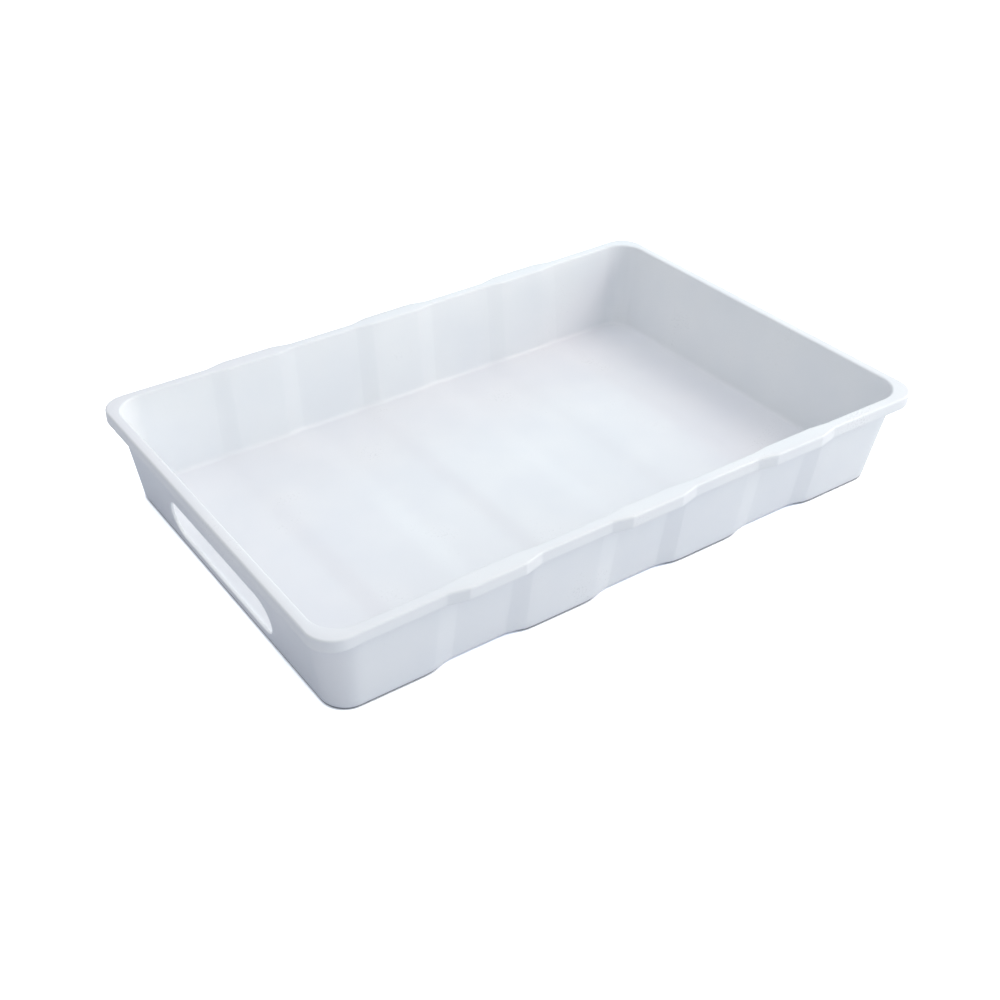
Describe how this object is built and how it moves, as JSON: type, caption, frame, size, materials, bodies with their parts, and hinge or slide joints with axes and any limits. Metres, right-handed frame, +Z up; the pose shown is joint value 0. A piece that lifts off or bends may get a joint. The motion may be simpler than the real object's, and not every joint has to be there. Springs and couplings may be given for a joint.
{
  "type": "paint tray",
  "caption": "Shallow rectangular plastic tray with drafted walls, low cross ribs pressed into floor and long sides, a turned-down rim that bulges out over the ribs, and an oblong hand slot through one end.",
  "frame": {"origin": "centre of the bounding box at the bottom of the base, the plane the tray stands on", "axes": "+X along the tray away from the hand slot, which is in the -X end wall; +Y across the tray; +Z up, out of the open mouth"},
  "size_m": [0.38, 0.2512, 0.056],
  "materials": {
    "white_plastic": "white injection-moulded polypropylene, satin to semi-gloss, faint moulding grain"
  },
  "bodies": {
    "root": {"paint_tray": "white_plastic"}
  },
  "joints": []
}
